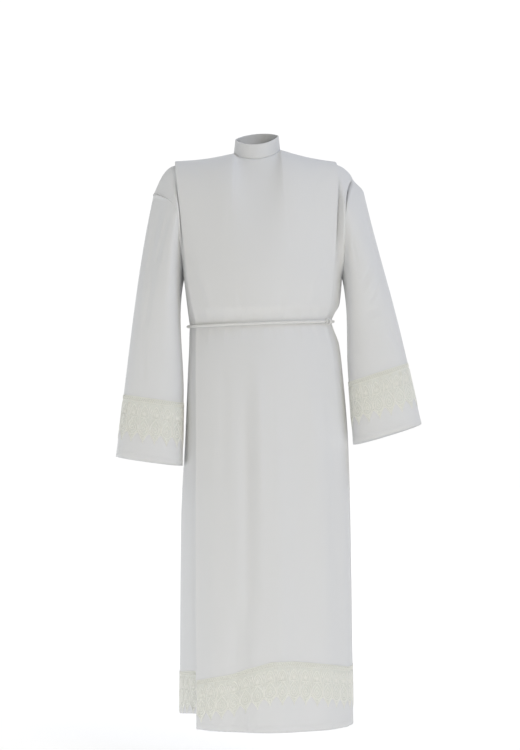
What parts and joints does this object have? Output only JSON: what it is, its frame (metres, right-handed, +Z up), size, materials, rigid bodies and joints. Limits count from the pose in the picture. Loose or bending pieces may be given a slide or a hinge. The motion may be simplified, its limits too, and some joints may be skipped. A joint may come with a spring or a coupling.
{
  "type": "alb with cincture",
  "caption": "Full-length white liturgical robe in its worn form, with stand-up collar, wide sleeves, lace bands and a rope belt.",
  "frame": {"origin": "middle of the neck opening, at the level where the collar is sewn on", "axes": "+Z up, the wearer faces -Y, +X to the right as seen from the front"},
  "size_m": [0.745, 0.3824, 1.4469],
  "materials": {
    "white_cloth": "matte",
    "lace": "matte",
    "white_rope": "satin"
  },
  "bodies": {
    "root": {"front": "white_cloth", "back": "white_cloth", "sleeve_left": "white_cloth", "sleeve_right": "white_cloth", "collar": "white_cloth", "cuff_lace_left": "lace", "cuff_lace_right": "lace", "hem_lace_front": "lace", "hem_lace_back": "lace", "hem_lace_left": "lace", "hem_lace_right": "lace", "cincture": "white_rope"}
  },
  "joints": []
}
